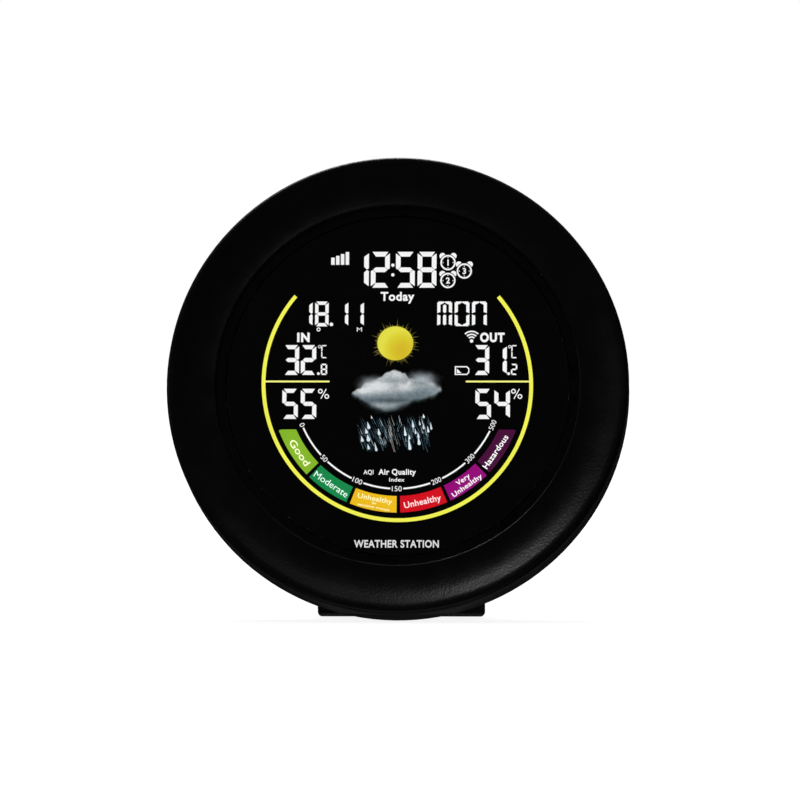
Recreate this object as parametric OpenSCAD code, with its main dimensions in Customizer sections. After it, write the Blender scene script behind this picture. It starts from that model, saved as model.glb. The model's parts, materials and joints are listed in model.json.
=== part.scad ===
// Round desk weather station: a dished black bezel round a flat glossy window, a bowl-shaped back
// with a fold-out stand, and the display, electronics and batteries inside.
// Body parts are drawn in the body's own frame: X right, Y up the face, Z out of the face,
// with Z = 0 on the front face of the window. lean() stands that frame up on the table.

/* [Body] */
// Outer diameter of the body
body_d = 180; // [178:1:182]
// Angle that the face leans back from upright
lean_angle = 10.5; // [9:0.5:11]
// Depth from the window's front face to the flat back
back_depth = 27; // [27:0.5:28]
// Depth of the straight side wall behind the window's front face
side_depth = 16.5; // [15:0.5:17.5]
// Wall thickness of the rear housing
wall = 2.2; // [1.8:0.1:2.6]

/* [Bezel] */
// How far the bezel's outer edge is stepped in from the rear housing
bezel_step = 0.6; // [0.3:0.1:1]
// Wall thickness of the bezel
bezel_wall = 1.5; // [1.2:0.1:1.8]
// Radius of the crest's outer edge
crest_r = 1; // [0.8:0.1:1.2]
// Radius that rounds the dished face over into the crest
brow_r = 5.6; // [5:0.2:6.2]
// Width of the straight slope between the dished face and the brow
slope_w = 2.8; // [2:0.2:3.4]
// Angle of the straight slope
dish_end = 25; // [24:0.5:26]
// Slope where the dished face leaves the lip round the window
dish_start = -10; // [-14:1:-4]
// Width of the gap where the bezel meets the rear housing
seam = 0.3; // [0.2:0.1:0.5]

/* [Window and display] */
// Diameter of the glossy window
lens_d = 141; // [139:0.5:142]
// Thickness of the window
lens_t = 2; // [1.5:0.1:2]
// Diameter of the display area left clear by the printed border
view_d = 115.6; // [110:0.2:120]
// Thickness of each sheet of display glass
glass_t = 1.1; // [0.7:0.1:1.1]

/* [Stand] */
// Width of the fold-out stand
stand_w = 66; // [56:1:66]
// Distance from the hinge to the foot
stand_len = 73; // [73:0.5:76]
// Thickness of the stand
stand_t = 3; // [2.6:0.1:3.2]
// Distance of the hinge below the middle of the back
hinge_drop = 17; // [16:0.5:18]
// Diameter of the hinge pin
pin_d = 2.5; // [2:0.1:2.6]

/* [Buttons] */
// Diameter of each button
button_d = 9; // [8:0.5:10]
// Distance between buttons
button_pitch = 16; // [14:0.5:16]
// How far a button goes in
button_travel = 0.8; // [0.5:0.1:1]

/* [Hidden] */
$fn = 96;
eps = 0.01;
body_r = body_d / 2;
far = body_d;

// Colours
black_gloss = [0.01, 0.01, 0.012];
black_satin = [0.05, 0.05, 0.052];
black_matt = [0.07, 0.07, 0.072];
board_green = [0.05, 0.28, 0.14];
steel = [0.72, 0.73, 0.75];
film_white = [0.93, 0.94, 0.95];

// Bezel profile
bezel_r = body_r - bezel_step;
lens_r = lens_d / 2;
lens_gap = 0.25;
lens_edge = 0.3;
lip_r = 0.6;
lip_z = 0.55;
lip_x = lens_r + lens_gap + lip_r;
dish_x = lip_x + lip_r * sin(-dish_start);
dish_z = lip_z + lip_r * cos(dish_start);
crest_x = bezel_r - crest_r;
slope_x = crest_x - brow_r * sin(dish_end) - slope_w;
dish_r = (slope_x - dish_x) / (sin(dish_end) - sin(dish_start));
dish_c = [dish_x - dish_r * sin(dish_start), dish_z + dish_r * cos(dish_start)];
brow_z = dish_c[1] - (dish_r + brow_r) * cos(dish_end) + slope_w * tan(dish_end);
crest_z = brow_z + brow_r - crest_r;
bezel_foot_z = -1.2;
under_start = acos((bezel_r - bezel_wall - crest_x) / (brow_r - bezel_wall));
under_end = -5;
ledge_z = -lens_t - 0.3;
ledge_r = 66.8;
ledge_t = 2.2;

// Rear housing profile
bowl_r = back_depth - side_depth;
flat_r = body_r - bowl_r;
inner_z = wall - back_depth;
edge_r = 0.4;
housing_top = bezel_foot_z - seam;
tongue_r = bezel_r - bezel_wall - seam;
tongue_t = 1.4;
tongue_top = housing_top + 1.7;
shoulder_z = housing_top - 4.7;
shoulder_h = 1.6;

// Height of the body's centre above the table, and where the box's middle falls
ground = flat_r * cos(lean_angle) + side_depth * sin(lean_angle) + bowl_r;
front_y = -crest_x * sin(lean_angle) - crest_z * cos(lean_angle) - crest_r;
hinge_depth = 2.8;
hinge_z = hinge_depth - back_depth;
hinge_y_world = -hinge_drop * sin(lean_angle) - hinge_z * cos(lean_angle);
hinge_z_world = -hinge_drop * cos(lean_angle) + hinge_z * sin(lean_angle) + ground;
stand_tilt = acos(hinge_z_world / stand_len);
foot_y = hinge_y_world + stand_len * sin(stand_tilt);
foot_depth = 3.2;
foot_h = 6;
foot_corner = 1.8;
pad_t = 1.2;
shift_y = -(front_y + foot_y + foot_depth / 2) / 2;
open_angle = stand_tilt + lean_angle;

// Stand recess in the back
recess_w = stand_w + 1.2;
recess_depth = 6;
recess_z = recess_depth - back_depth;
recess_top = -11.5;
barrel_r = 2.6;
pin_fit = 0.05;
pin_seat = 0.02;
heel = (recess_z - hinge_z - 0.05 - stand_t / 2 * cos(open_angle)) / sin(open_angle);

// Battery compartment
cell_d = 10.5;
cell_len = 44.5;
cell_pitch = 11;
cell_nub_d = 3.8;
cell_nub_h = 0.8;
cell_count = 3;
bay_w = 51;
bay_h = 35;
bay_y = 11.5;
bay_floor_z = -13.8;
cell_z = bay_floor_z - 0.4 - cell_d / 2;
bay_wall_w = 1.5;
bay_wall_h = 3.5;
door_w = 56;
door_h = 38;
door_gap = 0.3;
door_t = 1.8;
door_seat = 0.2;
catch_x = 20;
catch_w = 8;
catch_t = 1;
catch_top = 3.4;
grip_w = 18;
grip_d = 1.2;
grip_pitch = 2.4;
contact_t = 0.4;
contact_w = 9;
spring_turns = 4;
spring_rise = 1.25;
spring_r = 3.7;
spring_step = 0.5;
spring_wire_r = 0.65;

// Display stack, counted back from the window
mask_t = 0.2;
mask_gap = 0.02;
film_t = 0.2;
glass_r = 65.6;
film_r = 63;
glass_z = ledge_z - film_t;
ledge_chord = 60;
tape_in = 0.4;
tape_out = 0.3;
mask_edge = 0.2;
frame_r = 67.2;
frame_bore = 62.8;
frame_front_z = glass_z - 2 * glass_t;
frame_back_z = -10;
frame_floor_t = 1;
guide_r = 62;
guide_chord = 52;
guide_t = 3;
guide_drop = 0.7;
sheet_t = 0.35;
sheet_gap = 0.1;
guide_z = frame_front_z - guide_drop;
strip_len = 56;
strip_t = 1;
led_count = 7;
led_pitch = 8;
led_size = [3.4, 1.8, 1.8];
led_y = -guide_chord - 0.2 - led_size[1] / 2;

// Main board and what stands on it
board_r = 68;
board_t = 1.6;
board_front_z = frame_back_z - 0.6;
board_back_z = board_front_z - board_t;
board_low = -40;
board_high = 58;
board_screw_r = 65;
board_screw_angles = [30, 150, 210, 330];
board_post_r = 1.9;
ribbon_w = 40;
ribbon_t = 0.3;
ribbon_y = -67.8;
ribbon_glass_y = -60.2;
ribbon_plug_y = -39;
ribbon_back_z = board_back_z - 1.2;
ribbon_room = 0.3;
plug_size = [44, 6, 2.4];
plug_y = -39.5;
plug_slot = [40.4, 3, 0.7];
// Chips on the board's back: middle X and Y, width, height, thickness
chips = [[47, 28, 12, 12, 1.6], [-47, -36, 6, 5, 1.5], [41, -8, 5, 6, 1.5], [38, -30, 7, 4, 1.5],
    [-42, 28, 8, 8, 1.4]];
radio_at = [-47, -17.5];
radio_size = [18, 25, 3.2];
radio_board_t = 0.8;
radio_can_h = 18.5;

// Case and frame screws
case_screw_r = 73;
case_screw_d = 2.5;
case_screw_len = 12;
case_head_d = 5.4;
case_head_h = 1.7;
case_seat_depth = 2;
case_screw_angles = [50, 130, 230, 310];
frame_screw_r = 72;
frame_screw_angles = [0, 90, 180];
frame_screw_d = 1.8;
frame_screw_len = 5;
frame_head_d = 4;
frame_boss_r = 2.8;
frame_tab_r = 3.4;
frame_tab_t = 1.6;
frame_tab_z = frame_front_z - 3.6;
board_screw_d = 2;
board_screw_len = 5.5;
board_head_d = 3.8;
small_head_h = 1.3;
boss_d = 7;
boss_end_z = -22.6;
screw_fit = 0.05;

// Buttons on the back
button_count = 6;
button_y = 46;
button_proud = 1;
button_gap = 0.3;
flange_d = 11;
flange_t = 1;
stem_d = 4;
button_edge_r = 0.5;
button_dish = 0.15;
switch_w = 6;
switch_h = 3.5;
plunger_d = 3.5;
plunger_h = 1;
plunger_end_z = board_back_z - switch_h - plunger_h;
stem_gap = 0.2;
stem_end_z = plunger_end_z - button_travel - stem_gap;
hole_start_z = -20;

// Power socket, sensor vents, sounder and wall hanger
socket_at = [50, 8];
socket_w = 9;
socket_hole_d = 7;
socket_bore_d = 6.2;
socket_end_t = 2.4;
socket_pin_d = 2;
sensor_at = [-59, 12];
sensor_w = 6;
sensor_t = 3;
vent_count = 5;
vent_pitch = 4;
vent_len = 14;
vent_d = 2;
buzzer_at = [50, -22];
buzzer_d = 12;
buzzer_t = 6.5;
sound_hole_d = 1.8;
sound_ring_r = 3.6;
reset_y = 36;
hanger_y = 59;
hanger_head_d = 8;
hanger_slot_d = 4;
hanger_rise = 7;
hanger_room = [12.6, 15.6, 5.2];
hanger_wall = 1.2;
hanger_middle = hanger_y + hanger_rise / 2 - 1.5;
label_at = [-51, -26];
label_size = [22, 15, 0.2];
label_r = 1.5;

// Stand pockets
pocket_skin = 1.6;
pocket_rib = 1.6;
pocket_columns = 3;
pocket_rows = 3;
pocket_low = 7.5;

// Points along an arc about c, from angle a to angle b
function arc(c, r, a, b, steps = 16) =
    [for (i = [0 : steps]) let (t = a + (b - a) * i / steps) [c[0] + r * cos(t), c[1] + r * sin(t)]];

// Stands the body's own frame up on the table, leaning back
module lean() {
    translate([0, shift_y, ground]) rotate([90 - lean_angle, 0, 0]) children();
}

// Places the stand's frame: hinge axis along X at the origin, the stand hanging down -Z
module at_hinge() {
    translate([0, hinge_y_world + shift_y, hinge_z_world]) rotate([stand_tilt, 0, 0]) children();
}

module ring_copies(r, angles) {
    for (a = angles) translate([r * cos(a), r * sin(a), 0]) children();
}

module disc(r, z_low, z_high) {
    translate([0, 0, z_low]) cylinder(r = r, h = z_high - z_low);
}

module ring(r_in, r_out, z_low, z_high) {
    difference() {
        disc(r_out, z_low, z_high);
        disc(r_in, z_low - 1, z_high + 1);
    }
}

module block(x_low, x_high, y_low, y_high, z_low, z_high) {
    translate([x_low, y_low, z_low]) cube([x_high - x_low, y_high - y_low, z_high - z_low]);
}

module rounded_rect(w, h, r) {
    square([w - 2 * r, h], center = true);
    square([w, h - 2 * r], center = true);
    for (x = [-1, 1], y = [-1, 1]) translate([x * (w / 2 - r), y * (h / 2 - r)]) circle(r);
}

module rounded_block(w, h, r, z_low, z_high) {
    translate([0, 0, z_low]) linear_extrude(z_high - z_low) rounded_rect(w, h, r);
}

module slot(len, d, z_low, z_high) {
    translate([0, 0, z_low]) linear_extrude(z_high - z_low) {
        square([len - d, d], center = true);
        for (x = [-1, 1]) translate([x * (len - d) / 2, 0]) circle(d / 2, $fn = 24);
    }
}

// A pan-head screw with its head under z_head and its shank running towards +Z
module pan_screw(head_d, head_h, shank_d, shank_len) {
    difference() {
        union() {
            translate([0, 0, -head_h]) cylinder(d = head_d, h = head_h, $fn = 32);
            cylinder(d = shank_d, h = shank_len, $fn = 32);
        }
        for (a = [0, 90]) rotate(a) translate([0, 0, -head_h]) cube([head_d * 0.6, 0.6, 1], center = true);
    }
}

module bezel_ring() {
    rotate_extrude($fn = 180) polygon(concat(
        [[lens_r + lens_gap, ledge_z]],
        arc([lip_x, lip_z], lip_r, 180, 90 + dish_start, 8),
        arc(dish_c, dish_r, dish_start - 90, dish_end - 90, 28),
        arc([crest_x, brow_z], brow_r, 90 + dish_end, 90, 14),
        arc([crest_x, crest_z], crest_r, 90, 0, 8),
        [[bezel_r, bezel_foot_z], [bezel_r - bezel_wall, bezel_foot_z]],
        arc([crest_x, brow_z], brow_r - bezel_wall, under_start, 90 + dish_end, 8),
        arc(dish_c, dish_r + bezel_wall, dish_end - 90, under_end - 90, 12),
        [[dish_c[0] + (dish_r + bezel_wall) * sin(under_end), ledge_z - ledge_t],
         [ledge_r, ledge_z - ledge_t], [ledge_r, ledge_z]]));
}

// Room in the bezel's ledge for the display's ribbon
module ribbon_notch() {
    half_w = ribbon_w / 2 + ribbon_room;
    top = glass_z - glass_t + ribbon_t + ribbon_room;
    block(-half_w, half_w, -lens_r - 2, ribbon_glass_y, -far, top);
}

module front_bezel() {
    color(black_satin) lean() difference() {
        union() {
            bezel_ring();
            ring_copies(case_screw_r, case_screw_angles) disc(boss_d / 2, boss_end_z, 0, $fn = 48);
            ring_copies(frame_screw_r, frame_screw_angles)
                disc(frame_boss_r, frame_tab_z + frame_tab_t, 0, $fn = 48);
        }
        disc(lens_r + lens_gap, ledge_z, far);
        ring_copies(case_screw_r, case_screw_angles)
            disc(case_screw_d / 2 + screw_fit, boss_end_z - 1, boss_end_z + case_screw_len);
        ring_copies(frame_screw_r, frame_screw_angles)
            disc(frame_screw_d / 2 + screw_fit, frame_tab_z, frame_tab_z + frame_screw_len + 1);
        ribbon_notch();
    }
}

module lens() {
    color(black_gloss) lean() rotate_extrude($fn = 180)
        polygon([[0, -lens_t], [lens_r, -lens_t], [lens_r, -lens_edge], [lens_r - lens_edge, 0], [0, 0]]);
}

module lens_tape() {
    color("dimgray") lean() ring(ledge_r + tape_in, lens_r - tape_out, ledge_z, -lens_t);
}

module display_mask() {
    color(black_gloss) lean()
        ring(view_d / 2, ledge_r - mask_edge, -lens_t - mask_gap - mask_t, -lens_t - mask_gap);
}

module front_polarizer() {
    color([0.05, 0.05, 0.06]) lean() disc(film_r, glass_z, ledge_z);
}

module lcd_front_glass() {
    color([0.04, 0.05, 0.05]) lean() intersection() {
        disc(glass_r, glass_z - glass_t, glass_z);
        block(-far, far, -ledge_chord, far, -far, far);
    }
}

module lcd_rear_glass() {
    color([0.1, 0.12, 0.12]) lean() disc(glass_r, frame_front_z, glass_z - glass_t);
}

module diffuser() {
    color(film_white) lean() disc(guide_r, guide_z + sheet_gap, guide_z + sheet_gap + sheet_t);
}

module light_guide() {
    color([0.85, 0.92, 0.95]) lean() intersection() {
        disc(guide_r, guide_z - guide_t, guide_z);
        block(-far, far, -guide_chord, far, -far, far);
    }
}

module reflector() {
    top = guide_z - guide_t - sheet_gap;
    color("white") lean() disc(guide_r, top - sheet_t, top);
}

module display_frame() {
    color(film_white) lean() difference() {
        union() {
            disc(frame_r, frame_back_z, frame_front_z);
            ring_copies(frame_screw_r, frame_screw_angles)
                disc(frame_tab_r, frame_tab_z, frame_tab_z + frame_tab_t, $fn = 48);
            for (a = frame_screw_angles) rotate(a) translate([0, 0, frame_tab_z])
                block(frame_bore, frame_screw_r, -frame_tab_r, frame_tab_r, 0, frame_tab_t);
            ring_copies(board_screw_r, board_screw_angles)
                disc(board_post_r, board_front_z, frame_back_z + eps, $fn = 48);
        }
        disc(frame_bore, frame_back_z + frame_floor_t, far);
        ring_copies(frame_screw_r, frame_screw_angles)
            disc(frame_screw_d / 2 + 0.2, frame_tab_z - 1, frame_tab_z + frame_tab_t + 1, $fn = 32);
        ring_copies(board_screw_r, board_screw_angles)
            disc(board_screw_d / 2 + screw_fit, board_front_z - 1, frame_front_z - 1);
    }
}

module backlight_strip() {
    color(board_green) lean() translate([0, led_y - led_size[1] / 2, 0])
        block(-strip_len / 2, strip_len / 2, -strip_t, 0, guide_z - guide_t, guide_z);
}

module backlight_leds() {
    color("lightyellow") lean() for (i = [0 : led_count - 1])
        translate([(i - (led_count - 1) / 2) * led_pitch, led_y, guide_z - guide_t / 2])
            cube(led_size, center = true);
}

module frame_screws() {
    color(steel) lean() ring_copies(frame_screw_r, frame_screw_angles) translate([0, 0, frame_tab_z])
        pan_screw(frame_head_d, small_head_h, frame_screw_d, frame_screw_len);
}

// The ribbon leaves the display's lower ledge, rounds the frame and reaches the back of the board
module lcd_ribbon() {
    half_w = ribbon_w / 2;
    ledge = glass_z - glass_t;
    color([0.75, 0.5, 0.2]) lean() {
        block(-half_w, half_w, ribbon_y, ribbon_glass_y, ledge, ledge + ribbon_t);
        block(-half_w, half_w, ribbon_y, ribbon_y + ribbon_t, ribbon_back_z, ledge);
        block(-half_w, half_w, ribbon_y, ribbon_plug_y, ribbon_back_z - ribbon_t, ribbon_back_z);
    }
}

module ribbon_connector() {
    color("ivory") lean() translate([0, plug_y, board_back_z]) difference() {
        block(-plug_size[0] / 2, plug_size[0] / 2, 0, plug_size[1], -plug_size[2], 0);
        block(-plug_slot[0] / 2, plug_slot[0] / 2, -1, plug_slot[1], -1 - plug_slot[2], -1);
    }
}

module main_board() {
    color(board_green) lean() difference() {
        intersection() {
            disc(board_r, board_back_z, board_front_z);
            block(-far, far, board_low, board_high, -far, far);
        }
        ring_copies(board_screw_r, board_screw_angles)
            disc(board_screw_d / 2 + 0.2, board_back_z - 1, board_front_z + 1, $fn = 32);
        ring_copies(frame_screw_r, frame_screw_angles)
            disc(frame_tab_r + 1.6, board_back_z - 1, board_front_z + 1, $fn = 48);
    }
}

module board_screws() {
    color(steel) lean() ring_copies(board_screw_r, board_screw_angles) translate([0, 0, board_back_z])
        pan_screw(board_head_d, small_head_h, board_screw_d, board_screw_len);
}

// Puts a part on the board's back, with its own Z = 0 on the board
module on_board(at) {
    lean() translate([at[0], at[1], board_back_z]) children();
}

module controller_chips() {
    color([0.08, 0.08, 0.09]) for (c = chips)
        on_board(c) translate([0, 0, -c[4] / 2]) cube([c[2], c[3], c[4]], center = true);
}

// A shielded radio on its own thin board, with the aerial end left open
module wireless_module() {
    half = radio_size / 2;
    color(steel) on_board(radio_at) difference() {
        block(-half[0], half[0], -half[1], half[1], -radio_size[2], 0);
        block(-far, far, radio_can_h - half[1], far, -far, -radio_board_t);
    }
}

module climate_sensor() {
    color("white") on_board(sensor_at) difference() {
        block(-sensor_w / 2, sensor_w / 2, -sensor_w / 2, sensor_w / 2, -sensor_t, 0);
        disc(1.2, -sensor_t - 1, 1 - sensor_t, $fn = 24);
    }
}

module buzzer() {
    color([0.1, 0.1, 0.1]) on_board(buzzer_at) difference() {
        disc(buzzer_d / 2, -buzzer_t, 0);
        disc(1, -buzzer_t - 1, 1.5 - buzzer_t, $fn = 24);
    }
}

function button_x(i) = (i - (button_count - 1) / 2) * button_pitch;

module tact_switches() {
    color([0.2, 0.2, 0.22]) for (i = [0 : button_count - 1]) on_board([button_x(i), button_y]) {
        block(-switch_w / 2, switch_w / 2, -switch_w / 2, switch_w / 2, -switch_h, 0);
        disc(plunger_d / 2, -switch_h - plunger_h, -switch_h, $fn = 32);
    }
}

module power_socket() {
    color([0.1, 0.1, 0.11]) lean() translate([socket_at[0], socket_at[1], 0]) difference() {
        block(-socket_w / 2, socket_w / 2, -socket_w / 2, socket_w / 2, inner_z + 0.2, board_back_z);
        disc(socket_bore_d / 2, inner_z - 1, board_back_z - socket_end_t, $fn = 48);
    }
}

module socket_pin() {
    color(steel) lean() translate([socket_at[0], socket_at[1], 0])
        disc(socket_pin_d / 2, inner_z + 1, board_back_z - socket_end_t, $fn = 32);
}

// One cell along X with its nub at +X, its end resting on the plate at the bay's wall
module cell() {
    nub_x = bay_w / 2 - contact_t - 0.1;
    translate([nub_x - cell_len, 0, cell_z]) rotate([0, 90, 0]) {
        cylinder(d = cell_d, h = cell_len - cell_nub_h);
        cylinder(d = cell_nub_d, h = cell_len, $fn = 32);
    }
}

// Copies one row of the battery bay per cell, turned end for end on every second row
module bay_rows() {
    for (i = [0 : cell_count - 1])
        translate([0, bay_y + (i - (cell_count - 1) / 2) * cell_pitch, 0])
            mirror([i % 2, 0, 0]) children();
}

module battery_cells() {
    color([0.55, 0.56, 0.58]) lean() bay_rows() cell();
}

module battery_plates() {
    color(steel) lean() bay_rows() translate([(bay_w - contact_t) / 2, 0, cell_z])
        cube([contact_t, contact_w, contact_w], center = true);
}

// A conical contact spring, its turns drawn as stacked rings on a mounting plate
module battery_springs() {
    color(steel) lean() bay_rows() translate([-bay_w / 2, 0, cell_z]) rotate([0, 90, 0]) {
        translate([0, 0, contact_t / 2]) cube([contact_w, contact_w, contact_t], center = true);
        rotate_extrude($fn = 48) for (i = [0 : spring_turns - 1])
            translate([spring_r - i * spring_step, contact_t + 0.5 + i * spring_rise])
                circle(spring_wire_r, $fn = 16);
    }
}

// A flat lid with two catches at its lower edge and finger grooves at its upper edge
module battery_door() {
    color(black_matt) lean() translate([0, bay_y, -back_depth]) difference() {
        union() {
            rounded_block(door_w, door_h, 2, 0, door_t);
            for (x = [-catch_x, catch_x]) translate([x, 0.4 - bay_h / 2, 0])
                block(-catch_w / 2, catch_w / 2, 0, catch_t, 1, catch_top);
        }
        for (i = [-1 : 1]) translate([0, bay_h / 2 - 3 - i * grip_pitch, 0]) slot(grip_w, grip_d, -1, 0.6);
    }
}

module housing_outside() {
    rotate_extrude($fn = 180) polygon(concat(
        [[0, -back_depth]],
        arc([flat_r, -side_depth], bowl_r, -90, 0, 24),
        arc([body_r - edge_r, housing_top - edge_r], edge_r, 0, 90, 6),
        [[tongue_r, housing_top], [tongue_r, tongue_top], [0, tongue_top]]));
}

module housing_inside() {
    rotate_extrude($fn = 180) polygon(concat(
        [[0, inner_z]],
        arc([flat_r, -side_depth], bowl_r - wall, -90, 0, 24),
        [[body_r - wall, shoulder_z], [tongue_r - tongue_t, shoulder_z + shoulder_h],
         [tongue_r - tongue_t, far], [0, far]]));
}

// The walls inside the housing that carry the stand recess, battery bay, hanger and screw seats
module housing_inner_walls() {
    side = recess_w / 2 + wall;
    block(-side, side, -far, recess_top + wall, -far, recess_z + wall);
    bay = [door_w + 2 * (door_gap + bay_wall_w), bay_h + 2 * bay_wall_h];
    hanger = hanger_room + 2 * hanger_wall * [1, 1, 1];
    translate([0, bay_y, 0]) rounded_block(bay[0], bay[1], 1, -far, bay_floor_z + 1);
    translate([-hanger[0] / 2, hanger_middle - hanger[1] / 2, inner_z - hanger_wall]) cube(hanger);
    ring_copies(case_screw_r, case_screw_angles) disc(5, -far, boss_end_z - 0.1, $fn = 48);
}

module stand_recess() {
    block(-recess_w / 2, recess_w / 2, -far, recess_top, -far, recess_z);
}

module battery_bay() {
    translate([0, bay_y, 0]) {
        block(-bay_w / 2, bay_w / 2, -bay_h / 2, bay_h / 2, -far, bay_floor_z);
        rounded_block(door_w + 2 * door_gap, door_h + 2 * door_gap, 2, -far, door_t + door_seat - back_depth);
    }
}

// Keyhole for a wall screw: the head goes in low, the neck slides up into the slot
module wall_hanger() {
    translate([0, hanger_y, 0]) {
        disc(hanger_head_d / 2, -far, inner_z + 1, $fn = 48);
        translate([0, hanger_rise / 2, 0]) rotate(90)
            slot(hanger_rise + hanger_slot_d, hanger_slot_d, -far, inner_z + 1);
    }
    translate([-hanger_room[0] / 2, hanger_middle - hanger_room[1] / 2, inner_z]) cube(hanger_room);
}

module housing_holes() {
    for (i = [0 : button_count - 1]) translate([button_x(i), button_y, 0])
        disc(button_d / 2 + button_gap, -far, hole_start_z, $fn = 64);
    ring_copies(case_screw_r, case_screw_angles) {
        disc(case_head_d / 2 + 0.4, -far, case_seat_depth - back_depth, $fn = 48);
        disc(case_screw_d / 2 + 0.25, -far, hole_start_z, $fn = 48);
    }
    translate([socket_at[0], socket_at[1], 0]) disc(socket_hole_d / 2, -far, hole_start_z, $fn = 64);
    for (i = [0 : vent_count - 1])
        translate([sensor_at[0], sensor_at[1] + (i - (vent_count - 1) / 2) * vent_pitch, 0])
            slot(vent_len, vent_d, -far, hole_start_z);
    translate([buzzer_at[0], buzzer_at[1], 0]) {
        disc(sound_hole_d / 2, -far, hole_start_z, $fn = 24);
        ring_copies(sound_ring_r, [0 : 60 : 300]) disc(sound_hole_d / 2, -far, hole_start_z, $fn = 24);
    }
    translate([0, reset_y, 0]) disc(1, -far, hole_start_z, $fn = 24);
    translate([-recess_w / 2 - wall - 1, -hinge_drop, hinge_z]) rotate([0, 90, 0])
        cylinder(d = pin_d + 2 * pin_seat, h = recess_w + 2 * wall + 2, $fn = 48);
}

module rear_housing() {
    color(black_matt) lean() difference() {
        union() {
            difference() {
                housing_outside();
                housing_inside();
            }
            intersection() {
                housing_outside();
                housing_inner_walls();
            }
        }
        stand_recess();
        battery_bay();
        wall_hanger();
        housing_holes();
    }
}

module case_screws() {
    color(steel) lean() ring_copies(case_screw_r, case_screw_angles)
        translate([0, 0, case_seat_depth - back_depth])
            pan_screw(case_head_d, case_head_h, case_screw_d, case_screw_len);
}

module rating_label() {
    color("silver") lean() translate([label_at[0], label_at[1], -back_depth - label_size[2]])
        rounded_block(label_size[0], label_size[1], label_r, 0, label_size[2]);
}

module hinge_pin() {
    color(steel) lean() translate([-recess_w / 2 - wall + 0.3, -hinge_drop, hinge_z]) rotate([0, 90, 0])
        cylinder(d = pin_d, h = recess_w + 2 * wall - 0.6, $fn = 48);
}

// Copies a 2D shape drawn in Y and Z of the row frame along X, w wide
module extrude_x(w) {
    translate([-w / 2, 0, 0]) rotate([90, 0, 90]) linear_extrude(w) children();
}

// The stand seen from the side: hinge barrel, tilted plate and upright foot
module stand_side() {
    translate([hinge_y_world + shift_y, hinge_z_world]) rotate(stand_tilt) {
        translate([-stand_t / 2, 3.5 - stand_len]) square([stand_t, stand_len - 3.5 + heel]);
        circle(barrel_r, $fn = 64);
    }
    translate([foot_y + shift_y - foot_depth / 2, 0]) square([foot_depth, foot_h]);
}

// The stand seen from the front, with its lower corners rounded
module stand_front(z_low, z_high) {
    translate([0, far, 0]) rotate([90, 0, 0]) linear_extrude(2 * far) intersection() {
        translate([0, far]) rounded_rect(stand_w, 2 * far, foot_corner);
        translate([-far, z_low]) square([2 * far, z_high - z_low]);
    }
}

// Shallow pockets that leave ribs on the inner side of the stand
module stand_pockets() {
    pitch_x = (stand_w - pocket_rib) / pocket_columns;
    low = pocket_low - stand_len;
    pitch_z = (-low - barrel_r - 1) / pocket_rows;
    at_hinge() for (i = [0 : pocket_columns - 1], j = [0 : pocket_rows - 1])
        translate([pocket_rib - stand_w / 2 + i * pitch_x, -far, low + j * pitch_z])
            cube([pitch_x - pocket_rib, far + stand_t / 2 - pocket_skin, pitch_z - pocket_rib]);
}

module stand() {
    color(black_matt) difference() {
        intersection() {
            extrude_x(stand_w) stand_side();
            stand_front(pad_t, far);
        }
        stand_pockets();
        at_hinge() translate([-far / 2, 0, 0]) rotate([0, 90, 0])
            cylinder(d = pin_d + 2 * pin_fit, h = far, $fn = 64);
    }
}

module stand_pad() {
    color([0.09, 0.09, 0.09]) intersection() {
        extrude_x(stand_w) stand_side();
        stand_front(0, pad_t);
    }
}

// A round button: a stem towards its switch, a flange behind the back wall and a slightly dished cap
module button(i) {
    flange_z = inner_z + button_gap;
    cap_z = -back_depth - button_proud;
    color(black_satin) lean() translate([button_x(i), button_y, 0]) rotate_extrude($fn = 64)
        polygon(concat(
            [[0, stem_end_z], [stem_d / 2, stem_end_z], [stem_d / 2, flange_z + flange_t],
             [flange_d / 2, flange_z + flange_t], [flange_d / 2, flange_z], [button_d / 2, flange_z]],
            arc([button_d / 2 - button_edge_r, cap_z + button_edge_r], button_edge_r, 0, -90, 6),
            [[0, cap_z + button_dish]]));
}

module set_button() { button(0); }
module mode_button() { button(1); }
module up_button() { button(2); }
module down_button() { button(3); }
module alarm_button() { button(4); }
module light_button() { button(5); }

front_bezel();
rear_housing();
lens();
lens_tape();
display_mask();
front_polarizer();
lcd_front_glass();
lcd_rear_glass();
diffuser();
light_guide();
reflector();
display_frame();
backlight_strip();
backlight_leds();
frame_screws();
lcd_ribbon();
ribbon_connector();
main_board();
board_screws();
controller_chips();
wireless_module();
climate_sensor();
buzzer();
tact_switches();
power_socket();
socket_pin();
battery_cells();
battery_springs();
battery_plates();
battery_door();
case_screws();
rating_label();
hinge_pin();
stand();
stand_pad();
set_button();
mode_button();
up_button();
down_button();
alarm_button();
light_button();
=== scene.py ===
"""Looks of the round desk weather station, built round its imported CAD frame.

Lengths in the row frame are metres. Lengths on the face are millimetres, with X right, Y up the face and
Z out of it, and 0 in the middle of the window's front.
"""

import json
import math
import random

import bmesh
import bpy
from mathutils import Matrix, Vector, noise


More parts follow.
